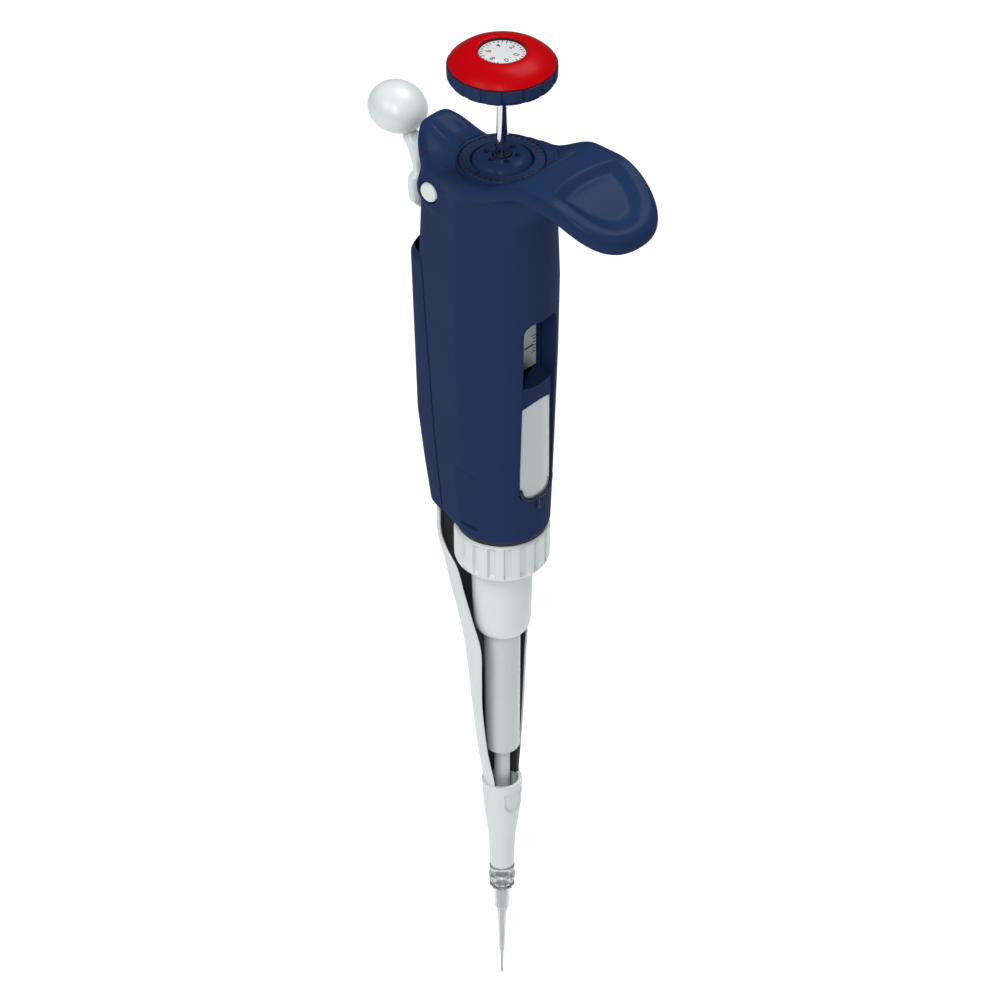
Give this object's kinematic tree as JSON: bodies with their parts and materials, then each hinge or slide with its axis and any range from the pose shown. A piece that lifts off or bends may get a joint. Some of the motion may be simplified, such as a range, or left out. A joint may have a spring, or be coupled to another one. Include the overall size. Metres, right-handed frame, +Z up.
{
  "type": "adjustable micropipette",
  "caption": "Air-displacement micropipette with a thumb plunger, turning volume knob, finger hook, volume window, coupling nut, tip ejector and a fitted tip.",
  "frame": {"origin": "on the plunger's axis, level with the hook's root, at the centre of the ring or cradle of the stand that holds the pipette", "axes": "+Z up along the plunger to its knob, +X towards the finger hook and the volume window, -X towards the tip ejector, -Y the release button's side"},
  "size_m": [0.0829, 0.0272, 0.2695],
  "materials": {
    "navy_plastic": "satin moulded",
    "dark_navy_plastic": "satin moulded",
    "red_plastic": "smooth moulded",
    "white_plastic": "satin moulded",
    "grey_white_plastic": "satin moulded",
    "polished_steel": "polished",
    "spring_steel": "drawn wire",
    "brass": "turned",
    "aluminium": "turned",
    "seal_rubber": "moulded",
    "lens_plastic": "frosted clear",
    "clear_plastic": "clear moulded"
  },
  "bodies": {
    "handle": {"handle_shell": "navy_plastic", "rear_cover": "navy_plastic", "scale_pocket": "dark_navy_plastic", "scale_plate": "white_plastic", "index_bar": "dark_navy_plastic", "window_lens": "lens_plastic", "counter_top": "aluminium", "counter_base": "aluminium", "chassis_plate": "aluminium", "rod_bush": "brass", "dial_plate": "dark_navy_plastic", "threaded_sleeve": "aluminium", "shaft_upper": "white_plastic", "spring_seat": "polished_steel", "shaft_lower": "grey_white_plastic", "seal_retainer": "polished_steel", "o_ring": "seal_rubber", "piston_seal": "white_plastic", "seal_seat": "white_plastic", "nose_cone": "grey_white_plastic", "primary_spring": "spring_steel", "blowout_spring": "spring_steel", "ejector_spring": "spring_steel"},
    "calibration_ring": {"calibration_dial": "dark_navy_plastic"},
    "drum_high": {"counter_drum_high": "white_plastic"},
    "drum_middle": {"counter_drum_middle": "white_plastic"},
    "drum_low": {"counter_drum_low": "white_plastic"},
    "blowout_stop": {"blowout_washer": "polished_steel"},
    "plunger": {"thrust_button": "polished_steel", "piston_head": "white_plastic", "piston": "polished_steel"},
    "volume_stop": {"volume_stop_nut": "brass"},
    "knob": {"knob_ring": "navy_plastic", "knob_cap": "red_plastic", "knob_disc": "white_plastic", "plunger_rod": "polished_steel", "volume_screw": "brass"},
    "nut": {"coupling_nut": "white_plastic"},
    "ejector": {"ejector_button": "white_plastic", "ejector_slider": "white_plastic", "ejector_rod": "white_plastic", "ejector_arm": "white_plastic", "ejector_collar": "white_plastic"},
    "release": {"release_button": "white_plastic"},
    "tip": {"pipette_tip": "clear_plastic"}
  },
  "joints": [
    {"name": "blowout_press", "type": "slide", "parent": "handle", "child": "blowout_stop", "axis": [0, 0, -1], "range_m": [0, 0.003], "stiffness_N_per_m": 2500, "springref_m": -0.002, "deforming": ["blowout_spring"]},
    {"name": "plunger_press", "type": "slide", "parent": "blowout_stop", "child": "plunger", "axis": [0, 0, -1], "range_m": [0, 0.011], "stiffness_N_per_m": 250, "springref_m": -0.006, "deforming": ["primary_spring"]},
    {"name": "volume_turn", "type": "hinge", "parent": "plunger", "child": "knob", "pos_m": [0, 0, 0.0356], "axis": [0, 0, 1], "range_deg": [-1800, 1800]},
    {"name": "stop_nut_travel", "type": "slide", "parent": "plunger", "child": "volume_stop", "axis": [0, 0, 1], "range_m": [-0.00251, 0.00251]},
    {"name": "drum_low_turn", "type": "hinge", "parent": "handle", "child": "drum_low", "pos_m": [0, 0, -0.0661], "axis": [0, 0, 1], "range_deg": [-1801, 1801]},
    {"name": "drum_middle_turn", "type": "hinge", "parent": "handle", "child": "drum_middle", "pos_m": [0, 0, -0.058], "axis": [0, 0, 1], "range_deg": [-181, 181]},
    {"name": "drum_high_turn", "type": "hinge", "parent": "handle", "child": "drum_high", "pos_m": [0, 0, -0.0499], "axis": [0, 0, 1], "range_deg": [-19, 19]},
    {"name": "calibration_turn", "type": "hinge", "parent": "handle", "child": "calibration_ring", "pos_m": [0, 0, 0.0116], "axis": [0, 0, 1], "range_deg": [-180, 180]},
    {"name": "nut_turn", "type": "hinge", "parent": "handle", "child": "nut", "pos_m": [0, 0, -0.0873], "axis": [0, 0, 1], "range_deg": [-900, 0]},
    {"name": "eject_press", "type": "slide", "parent": "handle", "child": "ejector", "axis": [0, 0, -1], "range_m": [0, 0.0075], "stiffness_N_per_m": 400, "springref_m": -0.003, "deforming": ["ejector_spring"]},
    {"name": "tip_push_off", "type": "slide", "parent": "handle", "child": "tip", "axis": [0, 0, -1], "range_m": [0, 0.0076]},
    {"name": "release_press", "type": "slide", "parent": "handle", "child": "release", "axis": [0, 1, 0], "range_m": [0, 0.0015], "stiffness_N_per_m": 600, "springref_m": -0.001}
  ],
  "couplings": [
    {"joint": "stop_nut_travel", "follows": "volume_turn", "m_per_rad": 0.000079577},
    {"joint": "drum_low_turn", "follows": "volume_turn", "ratio": 1},
    {"joint": "drum_middle_turn", "follows": "volume_turn", "ratio": 0.1},
    {"joint": "drum_high_turn", "follows": "volume_turn", "ratio": 0.01},
    {"joint": "tip_push_off", "follows": "eject_press", "ratio": 1}
  ]
}
